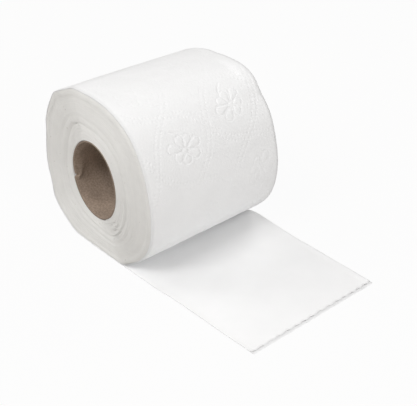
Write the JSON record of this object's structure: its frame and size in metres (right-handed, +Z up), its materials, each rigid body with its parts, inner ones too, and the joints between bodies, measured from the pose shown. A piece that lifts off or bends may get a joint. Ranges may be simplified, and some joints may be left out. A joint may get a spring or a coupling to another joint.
{
  "type": "toilet paper roll",
  "caption": "Soft embossed toilet paper roll on a cardboard core, lying on its side with one loose sheet drawn out over the floor.",
  "frame": {"origin": "on the axis of the core's bore, halfway along the roll", "axes": "+Y along the bore towards the far end, +Z up, and the loose tail runs out along +X on the floor"},
  "size_m": [0.1847, 0.0995, 0.104],
  "materials": {
    "core_board": "matte",
    "tissue": "matte"
  },
  "bodies": {
    "root": {"core_tube": "core_board", "tissue_web": "tissue"}
  },
  "joints": []
}
